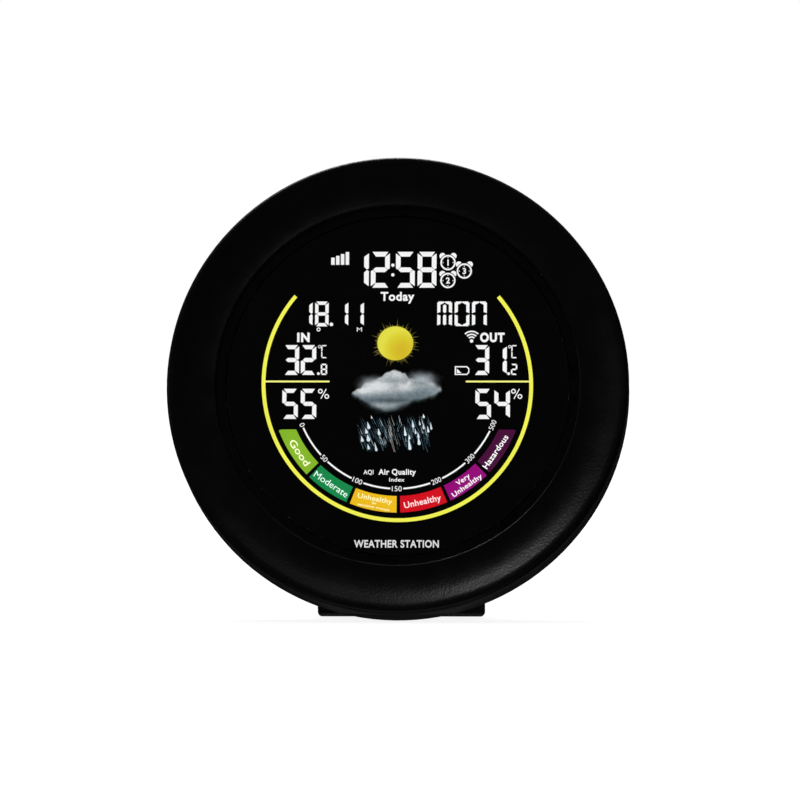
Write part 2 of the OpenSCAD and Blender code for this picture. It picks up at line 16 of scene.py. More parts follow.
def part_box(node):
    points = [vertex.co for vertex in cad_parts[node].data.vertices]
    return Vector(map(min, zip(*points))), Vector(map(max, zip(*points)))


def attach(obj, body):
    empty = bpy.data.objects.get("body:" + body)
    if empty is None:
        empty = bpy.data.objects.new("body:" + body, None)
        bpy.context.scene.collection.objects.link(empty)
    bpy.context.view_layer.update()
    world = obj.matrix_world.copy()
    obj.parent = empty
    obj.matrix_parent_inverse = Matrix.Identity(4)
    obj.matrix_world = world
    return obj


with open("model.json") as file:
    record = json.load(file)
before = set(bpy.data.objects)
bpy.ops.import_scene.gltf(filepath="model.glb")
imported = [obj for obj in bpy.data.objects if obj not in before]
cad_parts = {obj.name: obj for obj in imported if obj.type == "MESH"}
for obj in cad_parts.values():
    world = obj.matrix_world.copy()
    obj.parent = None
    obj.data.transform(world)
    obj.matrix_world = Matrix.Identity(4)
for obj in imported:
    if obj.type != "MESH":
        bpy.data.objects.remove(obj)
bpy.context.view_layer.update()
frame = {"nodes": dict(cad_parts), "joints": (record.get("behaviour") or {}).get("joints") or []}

# ---------------------------------------------------------------- the face's own frame

MM = 0.001

# The battery door lifts straight off the back, so its joint's axis is square to the leaning face
joints = {j["name"]: j for j in frame["joints"]}
rearward = Vector(joints["battery_door_lift"]["axis"]).normalized()
right = Vector((1, 0, 0))
front = -rearward
upward = front.cross(right)

# The middle of the window's front, and the level of the back
lens_low, lens_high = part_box("lens")
lens = frame["nodes"]["lens"]
lens_front = max(front.dot(v.co) for v in lens.data.vertices)
window = (lens_low + lens_high) / 2
window += front * (lens_front - front.dot(window))
housing = frame["nodes"]["rear_housing"]
back_level = max(rearward.dot(v.co) for v in housing.data.vertices)

FACE = Matrix((right, upward, front)).transposed().to_4x4()
FACE.translation = window
BACK = Matrix((-right, upward, rearward)).transposed().to_4x4()
BACK.translation = window + rearward * (back_level - rearward.dot(window))

# The display's figures are drawn a little tall and high, so that they look right on the leaning face
FIGURE_STRETCH = (0.996, 1.016)
FIGURE_RISE = 0.36
FACE_MM = (FACE @ Matrix.Translation((0, FIGURE_RISE * MM, 0))
           @ Matrix.Diagonal((MM * FIGURE_STRETCH[0], MM * FIGURE_STRETCH[1], MM, 1)))
BACK_MM = BACK @ Matrix.Scale(MM, 4)


# ---------------------------------------------------------------- materials

# The middle of a noise pattern's range, where nearly all of its values lie
NOISE_LOW, NOISE_HIGH = 0.3, 0.7


class Shader:
    """A node material under construction: a Principled shader with helpers for procedural detail."""

    def __init__(self, name, **sockets):
        self.mat = bpy.data.materials.new(name)
        self.mat.use_nodes = True
        self.tree = self.mat.node_tree
        self.bsdf = self.tree.nodes["Principled BSDF"]
        self.coords = self.tree.nodes.new("ShaderNodeTexCoord").outputs["Object"]
        for socket, value in sockets.items():
            self.bsdf.inputs[socket.replace("_", " ")].default_value = value

    def node(self, kind, **inputs):
        """A new node with values on its sockets, whose names have _ for a space."""
        made = self.tree.nodes.new(kind)
        for socket, value in inputs.items():
            made.inputs[socket.replace("_", " ")].default_value = value
        return made

    def link(self, source, target):
        self.tree.links.new(source, target)

    def noise(self, scale, detail=3.0, roughness=0.5, stretch=(1, 1, 1)):
        """A noise pattern whose scale is in repeats a metre."""
        made = self.node("ShaderNodeTexNoise", Scale=scale, Detail=detail, Roughness=roughness)
        mapping = self.node("ShaderNodeMapping", Scale=stretch)
        self.link(self.coords, mapping.inputs["Vector"])
        self.link(mapping.outputs["Vector"], made.inputs["Vector"])
        return made.outputs["Fac"]

    def ramp(self, source, stops):
        """A colour for each value of the source, from stops of (value, colour)."""
        made = self.node("ShaderNodeValToRGB")
        elements = made.color_ramp.elements
        while len(elements) < len(stops):
            elements.new(0.5)
        for element, (at, colour) in zip(elements, stops):
            element.position = at
            element.color = (*colour, 1)
        self.link(source, made.inputs["Fac"])
        return made.outputs["Color"]

    def fade(self, source, low, high):
        """A colour that goes from low to high with a noise pattern."""
        return self.ramp(source, [(NOISE_LOW, low), (NOISE_HIGH, high)])

    def span(self, source, low, high, from_low=NOISE_LOW, from_high=NOISE_HIGH):
        """A number that goes from low to high with a noise pattern, or with another range of values."""
        made = self.node("ShaderNodeMapRange", From_Min=from_low, From_Max=from_high,
                         To_Min=low, To_Max=high)
        self.link(source, made.inputs["Value"])
        return made.outputs["Result"]

    def length(self, vector):
        made = self.node("ShaderNodeVectorMath")
        made.operation = "LENGTH"
        self.link(vector, made.inputs[0])
        return made.outputs["Value"]

    def to(self, socket, source):
        self.link(source, self.bsdf.inputs[socket])

    def bump(self, source, distance):
        made = self.node("ShaderNodeBump", Strength=1.0, Distance=distance)
        self.link(source, made.inputs["Height"])
        self.link(made.outputs["Normal"], self.bsdf.inputs["Normal"])


def shade(colour, factor):
    return tuple(c * factor for c in colour)


def moulded(name, colour, roughness, grain=2600, depth=0.00001, variation=0.12, specular=0.5):
    """Moulded plastic: fine eroded grain, gloss that changes with handling, and slight colour drift."""
    s = Shader(name, Specular_IOR_Level=specular)
    drift = s.noise(scale=38, detail=4)
    s.to("Base Color", s.fade(drift, shade(colour, 1 - variation), shade(colour, 1 + variation)))
    handling = s.noise(scale=120, detail=5)
    s.to("Roughness", s.span(handling, roughness - 0.04, roughness + 0.05))
    s.bump(s.noise(grain, detail=2, roughness=0.6), depth)
    return s.mat


def metal(name, colour, roughness):
    """Plated metal with fine drawn scratches."""
    s = Shader(name, Metallic=1.0)
    lines = s.noise(scale=900, detail=4, roughness=0.6, stretch=(1, 1, 14))
    s.to("Base Color", s.fade(lines, shade(colour, 0.86), colour))
    s.to("Roughness", s.span(lines, roughness * 0.7, roughness * 1.4))
    s.bump(lines, 0.000004)
    return s.mat


def film(name, colour, roughness, specular=0.5, painted_glow=0.0):
    """A thin sheet with a faint cloudy unevenness, and if asked a faint painted glow standing in for room
    light.
    """
    s = Shader(name, Specular_IOR_Level=specular, Emission_Strength=painted_glow)
    cloudy = s.noise(scale=60, detail=3)
    # The colour of the painted glow, a little uneven
    s.to("Emission Color", s.fade(cloudy, (0.85, 0.88, 0.92), (0.97, 0.98, 1.0)))
    s.to("Base Color", s.fade(cloudy, shade(colour, 0.94), colour))
    s.to("Roughness", s.span(cloudy, roughness, roughness * 1.3 + 0.01))
    return s.mat


def circuit(name):
    """Solder mask over copper tracks: a cell pattern of pale and dark green with a raised edge."""
    s = Shader(name, Roughness=0.32, Coat_Weight=0.4, Coat_Roughness=0.2)
    tracks = s.node("ShaderNodeTexVoronoi", Scale=420)
    tracks.distance = "MANHATTAN"
    s.link(s.coords, tracks.inputs["Vector"])
    edge = tracks.outputs["Distance"]
    s.to("Base Color", s.ramp(edge, [(0.25, (0.012, 0.12, 0.05)), (0.45, (0.02, 0.2, 0.085))]))
    s.bump(edge, 0.00002)
    return s.mat


def clear(name, colour, roughness, ior):
    """Clear acrylic or glass with barely uneven polish."""
    s = Shader(name, Transmission_Weight=1.0, IOR=ior)
    polish = s.noise(scale=24, detail=3)
    s.to("Base Color", s.fade(polish, shade(colour, 0.985), colour))
    s.to("Roughness", s.span(polish, roughness, roughness + 0.004))
    return s.mat


def lit(name, colour, strength, unevenness=0.06):
    """A lit display figure: the backlight behind it is a little uneven."""
    s = Shader(name, Roughness=0.5, Emission_Strength=strength)
    glow = s.noise(scale=70, detail=2)
    s.to("Emission Color", s.fade(glow, shade(colour, 1 - unevenness), colour))
    s.to("Base Color", s.fade(glow, shade(colour, 0.02), shade(colour, 0.03)))
    return s.mat


# ---------------------------------------------------------------- flat pieces on the face

# Thickness of the flat figures
FIGURE_DEPTH = 0.04


def polar(r, angle, centre=(0, 0)):
    """The point at a distance and an angle in degrees from a centre."""
    a = math.radians(angle)
    return (centre[0] + r * math.cos(a), centre[1] + r * math.sin(a))


def arc(centre, r, start, end, steps):
    """Points along an arc, both ends included."""
    return [polar(r, start + (end - start) * i / steps, centre) for i in range(steps + 1)]


class Plate:
    """Collects flat outlines on the face or the back, in mm, and makes them one thin solid piece."""

    def __init__(self):
        self.bm = bmesh.new()

    def outline(self, points):
        self.bm.faces.new([self.bm.verts.new((x, y, 0)) for x, y in points])

    def strip(self, side_a, side_b, closed=False):
        """A band between two lines with the same number of points."""
        a = [self.bm.verts.new((x, y, 0)) for x, y in side_a]
        b = [self.bm.verts.new((x, y, 0)) for x, y in side_b]
        for i in range(len(a) if closed else len(a) - 1):
            j = (i + 1) % len(a)
            self.bm.faces.new((a[i], a[j], b[j], b[i]))

    def disc(self, centre, r, steps=24):
        self.outline(arc(centre, r, 0, 360 - 360 / steps, steps - 1))

    def ring(self, centre, r_in, r_out, steps=48):
        last = 360 - 360 / steps
        outer = arc(centre, r_out, 0, last, steps - 1)
        inner = arc(centre, r_in, 0, last, steps - 1)
        self.strip(outer, inner, closed=True)

    def band(self, centre, r_in, r_out, start, end, steps=24):
        self.strip(arc(centre, r_out, start, end, steps), arc(centre, r_in, start, end, steps))

    def bar(self, x0, y0, x1, y1):
        self.outline([(x0, y0), (x1, y0), (x1, y1), (x0, y1)])

    def line(self, start, end, width, round_ends=True):
        d = Vector(end) - Vector(start)
        heading = math.degrees(math.atan2(d.y, d.x))
        if round_ends:
            points = arc(end, width / 2, heading - 90, heading + 90, 8)
            points += arc(start, width / 2, heading + 90, heading + 270, 8)
        else:
            points = [polar(width / 2, heading - 90, end), polar(width / 2, heading + 90, end),
                      polar(width / 2, heading + 90, start), polar(width / 2, heading - 90, start)]
        self.outline(points)

    def mesh(self, other, matrix):
        """Adds a flat mesh, moved by a matrix."""
        start = len(self.bm.verts)
        self.bm.from_mesh(other)
        self.bm.verts.ensure_lookup_table()
        bmesh.ops.transform(self.bm, matrix=matrix, verts=self.bm.verts[start:])

    def piece(self, name, material, z, thickness=FIGURE_DEPTH, body="body", plane=FACE_MM):
        """Makes the outlines plates whose fronts lie at z over a plane, and puts them on the object."""
        bmesh.ops.triangulate(self.bm, faces=[f for f in self.bm.faces if len(f.verts) > 4])
        grown = bmesh.ops.extrude_face_region(self.bm, geom=self.bm.faces[:])
        top = [v for v in grown["geom"] if isinstance(v, bmesh.types.BMVert)]
        bmesh.ops.translate(self.bm, verts=top, vec=(0, 0, thickness))
        bmesh.ops.recalc_face_normals(self.bm, faces=self.bm.faces[:])
        matrix = plane @ Matrix.Translation((0, 0, z - thickness))
        bmesh.ops.transform(self.bm, matrix=matrix, verts=self.bm.verts[:])
        put(name, self.bm, material, body)


def put(name, bm, material, body):
    """Makes a mesh piece from bmesh data that is already in the row frame, and hangs it on a body."""
    mesh = bpy.data.meshes.new(name)
    bm.to_mesh(mesh)
    bm.free()
    mesh.materials.append(material)
    made = bpy.data.objects.new(name, mesh)
    bpy.context.scene.collection.objects.link(made)
    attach(made, body)


def type_mesh(words, boldness, spacing=1.0):
    """The built-in plain typeface as a flat mesh, its size 1."""
    curve = bpy.data.curves.new("type", "FONT")
    curve.body = words
    curve.offset = boldness
    curve.space_character = spacing
    curve.resolution_u = 4
    carrier = bpy.data.objects.new("type", curve)
    bpy.context.scene.collection.objects.link(carrier)
    bpy.context.view_layer.update()
    mesh = bpy.data.meshes.new_from_object(carrier.evaluated_get(bpy.context.evaluated_depsgraph_get()))
    bpy.data.objects.remove(carrier)
    bpy.data.curves.remove(curve)
    return mesh


def extent(mesh):
    """The mesh's least and greatest x, then its least and greatest y."""
    xs = [v.co.x for v in mesh.vertices]
    ys = [v.co.y for v in mesh.vertices]
    return min(xs), max(xs), min(ys), max(ys)


# How much further apart letters are set for their boldness
BOLD_SPACING = 3.2


def lettering(plate, words, centre, cap, width=None, turn=0.0, boldness=0.03):
    """Words with capitals cap mm tall, centred at half that height, and turned by an angle in degrees."""
    mesh = type_mesh(words, boldness, 1 + BOLD_SPACING * boldness)
    left, far_right, _, _ = extent(mesh)
    capital = type_mesh("H", boldness)
    _, _, foot, head = extent(capital)
    bpy.data.meshes.remove(capital)
    scale = cap / (head - foot)
    stretch = width / (far_right - left) if width else scale
    matrix = (Matrix.Translation((*centre, 0)) @ Matrix.Rotation(math.radians(turn), 4, "Z")
              @ Matrix.Diagonal((stretch, scale, 1, 1))
              @ Matrix.Translation((-(left + far_right) / 2, -(head + foot) / 2, 0)))
    plate.mesh(mesh, matrix)
    bpy.data.meshes.remove(mesh)


# ---------------------------------------------------------------- display figures

# The segments that each character lights: a at the top, then clockwise to f, and g in the middle
DIGITS = {"0": "abcdef", "1": "bc", "2": "abdeg", "3": "abcdg", "4": "bcfg", "5": "acdfg", "6": "acdefg",
          "7": "abc", "8": "abcdefg", "9": "abcdfg", "C": "adef"}
# Gap between a segment's end and the place where it would meet the next one
SPLIT = 0.1


def segment_shapes(w, h, t):
    """The seven segments of a digit w by h, strokes t wide, lower left corner at 0."""
    corner, shoulder, tip = 0.28 * t, 0.62 * t, 0.42 * t
    top = [(corner + SPLIT, h), (w - corner - SPLIT, h), (w - t - SPLIT, h - t), (t + SPLIT, h - t)]
    near, far = 0.95 * t + SPLIT, w - 0.95 * t - SPLIT
    middle = [(tip + SPLIT, h / 2), (near, h / 2 + t / 2), (far, h / 2 + t / 2),
              (w - tip - SPLIT, h / 2), (far, h / 2 - t / 2), (near, h / 2 - t / 2)]
    upper = [(w, h - corner - SPLIT), (w, h / 2 + 0.3 * t), (w - tip, h / 2 + SPLIT),
             (w - t, h / 2 + shoulder), (w - t, h - t - SPLIT)]

    def across(points):
        return [(w - x, y) for x, y in reversed(points)]

    def down(points):
        return [(x, h - y) for x, y in reversed(points)]

    return {"a": top, "b": upper, "c": down(upper), "d": down(top), "e": across(down(upper)),
            "f": across(upper), "g": middle}


def digit(plate, char, x, y, w, h, t):
    """A seven-segment character w by h, strokes t wide, lower left corner at x, y."""
    shapes = segment_shapes(w, h, t)
    for key in DIGITS[char]:
        plate.outline([(x + px, y + py) for px, py in shapes[key]])


def digits(plate, row, foot, width, height, stroke):
    """Digits on one line: row holds each character and the x of its left edge."""
    for char, x in row:
        digit(plate, char, x, foot, width, height, stroke)


def letter_stroke(plate, left, low, high, t, side):
    """An upright stroke with cut ends. side: -1 at a letter's left, 1 at its right, 0 in its centre."""
    slant = 0.35 * t
    left_cut, middle_cut, right_cut = {-1: (0, slant / 2, slant),
                                       0: (slant, 0, slant),
                                       1: (slant, slant / 2, 0)}[side]
    middle, right_edge = left + t / 2, left + t
    plate.outline([(left, low + left_cut), (middle, low + middle_cut), (right_edge, low + right_cut),
                   (right_edge, high - right_cut), (middle, high - middle_cut), (left, high - left_cut)])


def letter_bar(plate, start, end, bulge, level, inward, t):
    """Half of a top or foot bar: its inner edge is deepest at bulge."""
    shallow = level + inward * 0.35 * t
    deep = level + inward * 0.9 * t
    plate.outline([(start, level), (end, level), (end, shallow),
                   (bulge + 0.3, deep), (bulge - 0.3, deep), (start, shallow)])


def letter(plate, x, y, w, h, t, centre=False, foot=False):
    """A box letter of the day display: split sides and top, and a centre stroke or a foot if asked."""
    middle = y + h / 2
    gap = 0.28
    uprights = [(x, -1), (x + w - t, 1)]
    if centre:
        uprights.append((x + (w - t) / 2, 0))
    for left, side in uprights:
        letter_stroke(plate, left, y + 0.3, middle - gap, t, side)
        letter_stroke(plate, left, middle + gap, y + h - (0.35 if side else 0.9 * t), t, side)
    levels = [(y + h, -1)] + ([(y, 1)] if foot else [])
    halves = ((0.35 * t, w / 2 - 0.08, 0.35), (w / 2 + 0.08, w - 0.35 * t, 0.65))
    for level, inward in levels:
        for start, end, deepest in halves:
            bulge = start + (end - start) * deepest
            letter_bar(plate, x + start, x + end, x + bulge, level, inward, t)


def degree_c(plate, x, y, h):
    """A small degree ring and a seven-segment C, lower left corner at x, y."""
    plate.ring((x + 0.6, y + h - 0.62), 0.38, 0.62, 20)
    digit(plate, "C", x + 1.25, y, 2.35, h, 0.46)


def percent(plate, x, y, w, h):
    """A percent sign w by h, lower left corner at x, y."""
    r = 0.24 * h
    plate.ring((x + r, y + h - r), r - 0.42, r, 28)
    plate.ring((x + w - r, y + r), r - 0.42, r, 28)
    plate.line((x + 0.26 * w, y + 0.05), (x + 0.74 * w, y + h - 0.05), 0.36, round_ends=False)


def alarm(plate, centre, number):
    """An alarm clock sign: a ring with two bells, four marks and a number."""
    plate.ring(centre, 2.38, 3.0)
    for side in (-1, 1):
        heading = 90 + side * 40
        dome = arc(polar(3.35, heading, centre), 1.2, heading - 88, heading + 88, 14)
        seat = arc(centre, 3.28, heading - 21, heading + 21, 14)
        plate.strip(dome, seat)
    for turn in range(0, 360, 90):
        plate.disc(polar(1.95, turn, centre), 0.2, 12)
    lettering(plate, number, centre, 2.4, boldness=0.03)


def waves(plate, centre):
    """Radio waves over a dot."""
    plate.disc(centre, 0.68)
    for r in (1.55, 2.6, 3.75):
        plate.band(centre, r - 0.27, r + 0.27, 46, 134, 16)


def battery(plate, x, y, w, h):
    """An outlined cell with a stub at its right and a low charge wedge at its left."""
    wall = 0.45
    shoulder = x + w - 0.9
    outer = [(x, y), (shoulder, y), (x + w, y + 0.9), (x + w, y + h - 0.9), (shoulder, y + h), (x, y + h)]
    inside, stub = shoulder - 0.2, x + w - wall
    inner = [(x + wall, y + wall), (inside, y + wall), (stub, y + 1.1), (stub, y + h - 1.1),
             (inside, y + h - wall), (x + wall, y + h - wall)]
    plate.strip(outer, inner, closed=True)
    plate.outline([(x + 0.75, y + 0.75), (x + 2.6, y + 0.75), (x + 0.75, y + h - 0.9)])


# ---------------------------------------------------------------- the display's rows of figures

# Level of the lit figures and of words that lie over them, and the step between figures that overlap
FIGURES_Z = -2.16
OVERLAY_Z = -2.10
LAYER = 0.045

white = lit("display_white", (1.0, 1.0, 1.0), 1.0)
yellow = lit("display_yellow", (0.97, 0.97, 0.10), 1.0)
pale_yellow = lit("display_pale_yellow", (1.0, 0.99, 0.25), 1.0)

# Characters and the x of their left edges, or the x of signs alone
TIME = (("1", -19.0), ("2", -10.8), ("5", -1.0), ("8", 7.5))
DATE = (("1", -38.8), ("8", -32.5), ("1", -24.8), ("1", -18.7))
TEMPERATURES = (("3", -44.6), ("2", -37.9), ("3", 29.7), ("1", 36.6))
TENTHS = (("8", -31.0), ("2", 43.3))
HUMIDITIES = (("5", -45.0), ("5", -37.8), ("5", 30.4), ("4", 37.8))
PERCENT_SIGNS = (-31.1, 44.3)
COLON_X = -2.2
COLON_HEIGHTS = (42.8, 46.6)
TEMPERATURE_FOOT = 3.8

# Alarm signs as (centre, number). Signal bars: heights, where the first starts, step and width
ALARMS = (((19.4, 47.6), "1"), ((19.4, 40.6), "2"), ((25.8, 44.3), "3"))
SIGNAL_BARS = (2.8, 3.5, 4.2, 5.0)
SIGNAL_AT = (-26.4, 46.75)
SIGNAL_PITCH = 1.89
SIGNAL_BAR_WIDTH = 1.36


def clock_figures():
    plate = Plate()
    digits(plate, TIME, foot=37.8, width=7.4, height=14.0, stroke=1.85)
    for y in COLON_HEIGHTS:
        plate.disc((COLON_X, y), 0.64)
    plate.piece("time_figures", white, FIGURES_Z)


def status_figures():
    """Signal bars, alarm signs, radio waves, the battery sign and the display's own words."""
    plate = Plate()
    foot = SIGNAL_AT[1]
    for i, height in enumerate(SIGNAL_BARS):
        left = SIGNAL_AT[0] + SIGNAL_PITCH * i
        plate.bar(left, foot, left + SIGNAL_BAR_WIDTH, foot + height)
    for centre, number in ALARMS:
        alarm(plate, centre, number)
    lettering(plate, "Today", (-0.3, 34.4), cap=3.5, width=13.2, boldness=0.03)
    waves(plate, (28.8, 17.0))
    battery(plate, x=22.3, y=3.8, w=5.7, h=3.4)
    lettering(plate, "IN", (-37.0, 18.4), cap=3.7, width=4.9, boldness=0.05)
    lettering(plate, "OUT", (36.9, 18.4), cap=3.7, width=9.6, boldness=0.05)
    plate.piece("status_figures", white, FIGURES_Z)


def date_figures():
    """The date with a dot after the day, a small mark under the day and the month, and the day's name."""
    plate = Plate()
    digits(plate, DATE, foot=22.7, width=5.3, height=9.7, stroke=1.3)
    plate.disc((-26.1, 23.5), 0.72, steps=12)
    plate.ring((-31.1, 21.5), 0.42, 0.78, steps=20)
    lettering(plate, "M", (-15.1, 21.5), cap=1.6, width=2.0, boldness=0.0)
    letter(plate, 15.3, 22.8, 5.8, 9.6, 1.25, centre=True)
    letter(plate, 22.1, 22.8, 5.8, 9.6, 1.25, foot=True)
    letter(plate, 28.9, 22.8, 5.8, 9.6, 1.25)
    plate.piece("date_figures", white, FIGURES_Z)


def climate_figures():
    """Temperature and humidity, indoors at the left and outdoors at the right."""
    plate = Plate()
    digits(plate, TEMPERATURES, foot=TEMPERATURE_FOOT, width=6.0, height=11.6, stroke=1.6)
    digits(plate, HUMIDITIES, foot=-13.3, width=6.1, height=11.7, stroke=1.6)
    for char, x in TENTHS:
        plate.disc((x, TEMPERATURE_FOOT + 0.5), 0.55)
        digit(plate, char, x + 0.9, TEMPERATURE_FOOT, 2.5, 4.35, 0.62)
        degree_c(plate, x - 0.2, 10.3, 5.1)
    for x in PERCENT_SIGNS:
        percent(plate, x, y=-5.5, w=4.4, h=3.9)
    plate.piece("climate_figures", white, FIGURES_Z)


# ---------------------------------------------------------------- ring and rules

RING_R = 52.43
RING_WIDTH = 1.5
RING_CENTRE = (-0.14, 0.14)
# The ring is slightly oval: how far it swells along its long axis, and where that axis points
RING_SWELL = 0.38
RING_AXIS = 123
# The angles of its two ends, and the number of steps between them
RING_START, RING_END = -220.7, 41
RING_STEPS = 180

# The rules that part the display run inward from the ring
RULE_Y = 1.25
RULE_INNER = 26.9
RULE_WIDTH = 0.68


def ring_edge(offset):
    """Points along the display ring, offset outward from its middle line."""
    points = []
    for i in range(RING_STEPS + 1):
        angle = RING_START + (RING_END - RING_START) * i / RING_STEPS
        swell = RING_SWELL * math.cos(2 * math.radians(angle - RING_AXIS))
        points.append(polar(RING_R + offset + swell, angle, RING_CENTRE))
    return points


def ring_figures():
    plate = Plate()
    plate.strip(ring_edge(RING_WIDTH / 2), ring_edge(-RING_WIDTH / 2))
    plate.piece("display_ring", yellow, FIGURES_Z)
    rules = Plate()
    reach = RING_R - RING_WIDTH / 2 - 0.1
    for side in (-1, 1):
        rules.line((side * reach, RULE_Y), (side * RULE_INNER, RULE_Y), RULE_WIDTH)
    rules.piece("display_rules", pale_yellow, FIGURES_Z)


# ---------------------------------------------------------------- air quality scale

# Angles of the scale's two ends and of the joins between its bands, and the gap at each
AQI_EDGES = (202.8, 225.5, 247.5, 270.8, 294.2, 315.8, 337.2)
AQI_GAP = 1.7
# The bands' inner and outer radius, and the level that the two outer bands are cut off at
AQI_IN, AQI_OUT = 43.1, 49.5
AQI_TOP = -17.4
# The cut bands' outer corners: radius, and the angle that the rounding takes off the outer arc
AQI_CORNER = 0.7
AQI_CORNER_TURN = 1.6
# Labels: how bold they are, and how far those of the outer bands are turned away from the cut ends
LABEL_BOLDNESS = 0.014
LABEL_TURN = 0.6
# Each band's name, colour and ink, and its label as lines of (words, capital height, width, radius)
AQI_BANDS = [
    ("good", (0.27, 0.54, 0.029), (0.95, 1.0, 0.60), [("Good", 2.7, 11.4, 46.3)]),
    ("moderate", (0.009, 0.27, 0.075), (0.80, 1.0, 0.90), [("Moderate", 2.5, 15.3, 46.3)]),
    ("sensitive", (0.98, 0.58, 0.014), (1.0, 0.90, 0.50),
     [("Unhealthy", 1.9, 13.6, 44.9), ("for", 1.0, 1.9, 46.7), ("sensitive groups", 0.9, 12.6, 48.2)]),
    ("unhealthy", (0.70, 0.006, 0.015), (1.0, 0.75, 0.76), [("Unhealthy", 2.4, 14.6, 46.3)]),
    ("very_unhealthy", (0.33, 0.004, 0.21), (1.0, 0.95, 1.0),
     [("Very", 1.9, 6.0, 44.8), ("Unhealthy", 1.9, 13.6, 47.6)]),
    ("hazardous", (0.074, 0.006, 0.048), (1.0, 1.0, 1.0), [("Hazardous", 2.3, 15.0, 46.3)]),
]

# Numbers inside the bands, joined by a thin line: their radius, the angle between them, and the line's
# half width
AQI_NUMBERS = ("0", "50", "100", "150", "200", "300", "500")
AQI_NUMBER_R = 40.3
AQI_NUMBER_STEP = 22.4
AQI_LINE = 0.33


def number_angle(index):
    """The angle of the number at index, counted from the left."""
    return 270 + (index - 3) * AQI_NUMBER_STEP


def clipped_band(start, end, first, last):
    """A band's outline. The first and the last are cut level at the top, with a rounded outer corner."""
    if not first and not last:
        return arc((0, 0), AQI_OUT, start, end, 16) + arc((0, 0), AQI_IN, end, start, 16)
    side = -1 if first else 1
    reach = math.sqrt(AQI_OUT ** 2 - AQI_TOP ** 2)
    corner = [(side * (reach - inward * AQI_CORNER), AQI_TOP - drop * AQI_CORNER)
              for inward, drop in ((2.2, 0), (0.9, 0.12), (0.1, 0.8))]
    cut_out = math.degrees(math.asin(-AQI_TOP / AQI_OUT)) + AQI_CORNER_TURN
    cut_in = math.degrees(math.asin(-AQI_TOP / AQI_IN))
    if first:
        outer = arc((0, 0), AQI_OUT, 180 + cut_out, end, 14)
        inner = arc((0, 0), AQI_IN, end, 180 + cut_in, 14)
        return corner + outer + inner
    outer = arc((0, 0), AQI_OUT, start, 360 - cut_out, 14)
    inner = arc((0, 0), AQI_IN, 360 - cut_in, start, 14)
    return outer + corner[::-1] + inner


def scale_bands():
    """The scale's coloured bands, each with its label."""
    for index, (name, colour, ink, lines) in enumerate(AQI_BANDS):
        start = AQI_EDGES[index] + AQI_GAP / 2
        end = AQI_EDGES[index + 1] - AQI_GAP / 2
        first, last = index == 0, index == len(AQI_BANDS) - 1
        plate = Plate()
        plate.outline(clipped_band(start, end, first, last))
        plate.piece("scale_" + name, lit("scale_" + name, colour, 1.0, 0.1), FIGURES_Z)
        words = Plate()
        middle = (start + end) / 2 + LABEL_TURN * (first - last)
        for text, cap, width, r in lines:
            # The strokes of a bold M run together, so a word with one stays thin
            boldness = 0.0 if "M" in text else LABEL_BOLDNESS
            lettering(words, text, polar(r, middle), cap, width, middle - 270, boldness)
        words.piece("label_" + name, lit("label_" + name, ink, 1.25), OVERLAY_Z)


def scale_marks():
    """The scale's numbers with a thin line between them, and its heading."""
    marks = Plate()
    for index, number in enumerate(AQI_NUMBERS):
        angle = number_angle(index)
        width = 1.25 * len(number) + 0.1
        lettering(marks, number, polar(AQI_NUMBER_R, angle), 1.95, width, angle - 270, boldness=0.0)
        if index:
            start, end = [0.95 * len(n) + 0.75 for n in (AQI_NUMBERS[index - 1], number)]
            marks.band((0, 0), AQI_NUMBER_R - AQI_LINE, AQI_NUMBER_R + AQI_LINE,
                       number_angle(index - 1) + start, angle - end)
    lettering(marks, "AQI", (-11.1, -33.9), cap=1.7, width=3.9, boldness=0.015)
    lettering(marks, "Air Quality", (0.1, -33.8), cap=2.2, width=14.6, boldness=0.03)
    lettering(marks, "Index", (0.0, -36.8), cap=1.5, width=6.0, boldness=0.015)
    marks.piece("scale_marks", white, FIGURES_Z)


# ---------------------------------------------------------------- weather picture: sun

SUN_AT = (-1.0, 16.1)
SUN_R = 7.0
# Height of the sun for its width
SUN_SQUASH = 0.945
SUN_RAYS = 90
RAY_LENGTHS = (0.5, 0.7, 0.9, 1.2, 1.5, 2.2, 3.0)

# Where the gold is deepest, from the sun's middle. In metres: the radii over which it turns yellow, and
# how far mottling moves them
GOLD_AT = (2.6, -2.8)
GOLD_FADE = (0.0015, 0.0095)
GOLD_MOTTLE = 0.0022


def sun_material():
    """Bright yellow, warming to gold towards the lower right, with a paler rim."""
    s = Shader("sun_glow", Roughness=0.5, Emission_Strength=1.0)
    place = s.node("ShaderNodeMapping")
    place.inputs["Location"].default_value = -(FACE_MM @ Vector((SUN_AT[0] + GOLD_AT[0],
                                                                 SUN_AT[1] + GOLD_AT[1], 0)))
    s.link(s.coords, place.inputs["Vector"])
    mottled = s.node("ShaderNodeMath")
    mottled.operation = "MULTIPLY_ADD"
    s.link(s.noise(scale=420, detail=4, roughness=0.6), mottled.inputs[0])
    mottled.inputs[1].default_value = GOLD_MOTTLE
    s.link(s.length(place.outputs["Vector"]), mottled.inputs[2])
    away = s.span(mottled.outputs["Value"], 0, 1, *GOLD_FADE)
    s.to("Emission Color", s.ramp(away, [(0.0, (0.66, 0.44, 0.02)), (0.35, (0.72, 0.53, 0.025)),
                                         (0.7, (0.76, 0.67, 0.035)), (1.0, (0.82, 0.78, 0.07))]))
    s.to("Base Color", s.ramp(away, [(0.0, (0.02, 0.015, 0.0)), (1.0, (0.025, 0.02, 0.0))]))
    return s.mat


